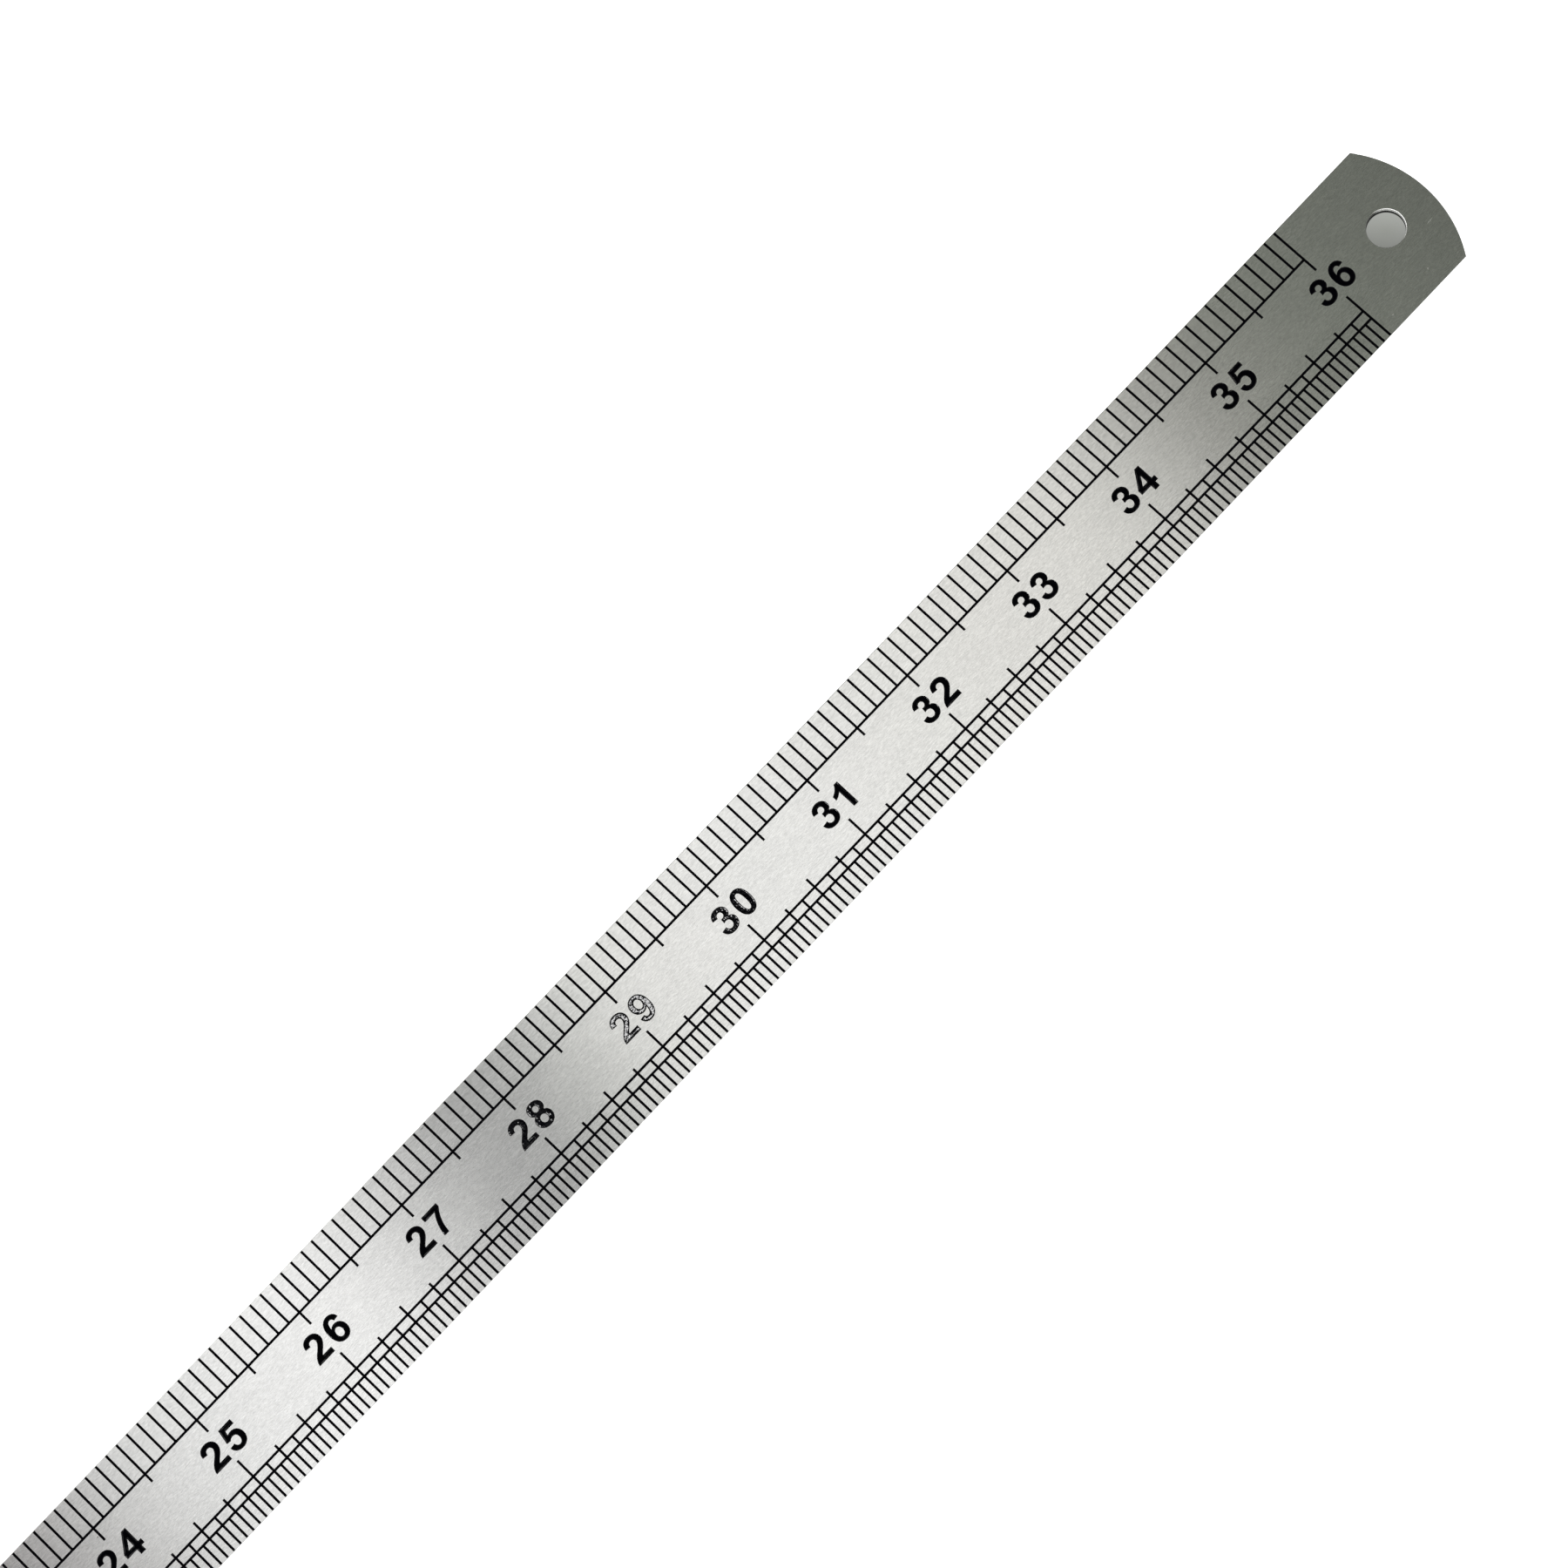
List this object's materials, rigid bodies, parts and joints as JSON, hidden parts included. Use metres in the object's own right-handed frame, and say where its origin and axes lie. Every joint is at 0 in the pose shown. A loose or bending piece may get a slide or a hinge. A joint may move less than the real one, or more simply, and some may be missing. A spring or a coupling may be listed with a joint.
{
  "type": "steel ruler",
  "caption": "Long flat steel rule with a rounded hanging end and hang hole, enamel-filled inch graduations along both edges and bold inch numerals between them.",
  "frame": {"origin": "middle of the bottom of the bounding box, on the back face halfway along the rule", "axes": "+X runs along the rule from the zero end to the hanging end, +Y runs across it towards the tenths edge, +Z points out of the graduated face"},
  "size_m": [0.9384, 0.028, 0.001],
  "materials": {
    "steel": "satin stainless, fine grain along the length",
    "enamel": "glossy black baked enamel"
  },
  "bodies": {
    "root": {"blade": "steel", "tenths_scale_enamel": "enamel", "sixteenths_scale_enamel": "enamel", "numeral_01_enamel": "enamel", "numeral_02_enamel": "enamel", "numeral_03_enamel": "enamel", "numeral_04_enamel": "enamel", "numeral_05_enamel": "enamel", "numeral_06_enamel": "enamel", "numeral_07_enamel": "enamel", "numeral_08_enamel": "enamel", "numeral_09_enamel": "enamel", "numeral_10_enamel": "enamel", "numeral_11_enamel": "enamel", "numeral_12_enamel": "enamel", "numeral_13_enamel": "enamel", "numeral_14_enamel": "enamel", "numeral_15_enamel": "enamel", "numeral_16_enamel": "enamel", "numeral_17_enamel": "enamel", "numeral_18_enamel": "enamel", "numeral_19_enamel": "enamel", "numeral_20_enamel": "enamel", "numeral_21_enamel": "enamel", "numeral_22_enamel": "enamel", "numeral_23_enamel": "enamel", "numeral_24_enamel": "enamel", "numeral_25_enamel": "enamel", "numeral_26_enamel": "enamel", "numeral_27_enamel": "enamel", "numeral_28_enamel": "enamel", "numeral_29_enamel": "enamel", "numeral_30_enamel": "enamel", "numeral_31_enamel": "enamel", "numeral_32_enamel": "enamel", "numeral_33_enamel": "enamel", "numeral_34_enamel": "enamel", "numeral_35_enamel": "enamel", "numeral_36_enamel": "enamel"}
  },
  "joints": []
}
